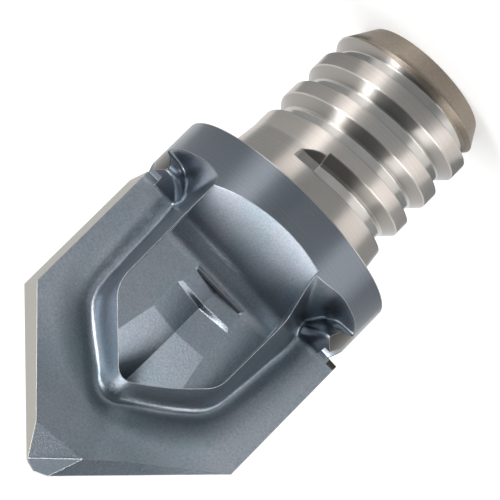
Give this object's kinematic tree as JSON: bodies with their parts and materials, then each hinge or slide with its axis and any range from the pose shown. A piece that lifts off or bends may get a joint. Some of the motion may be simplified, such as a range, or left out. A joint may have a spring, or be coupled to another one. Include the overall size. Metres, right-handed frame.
{
  "type": "exchangeable milling head",
  "caption": "Exchangeable chamfer milling head with a spade-shaped point, chip pockets, a round collar and a coarse threaded shank.",
  "frame": {"origin": "centre of the collar's rear face, on the tool axis", "axes": "+Z along the tool axis from the shank towards the point, one chip face looks along -Y, +X from the tool axis to the cutting edge whose chip face looks along +Y"},
  "size_m": [0.0156, 0.015, 0.0317],
  "materials": {
    "carbide": "satin blue-grey hard coating from the collar to the point, bare ground carbide on the shank"
  },
  "bodies": {
    "root": {"milling_head": "carbide"}
  },
  "joints": []
}
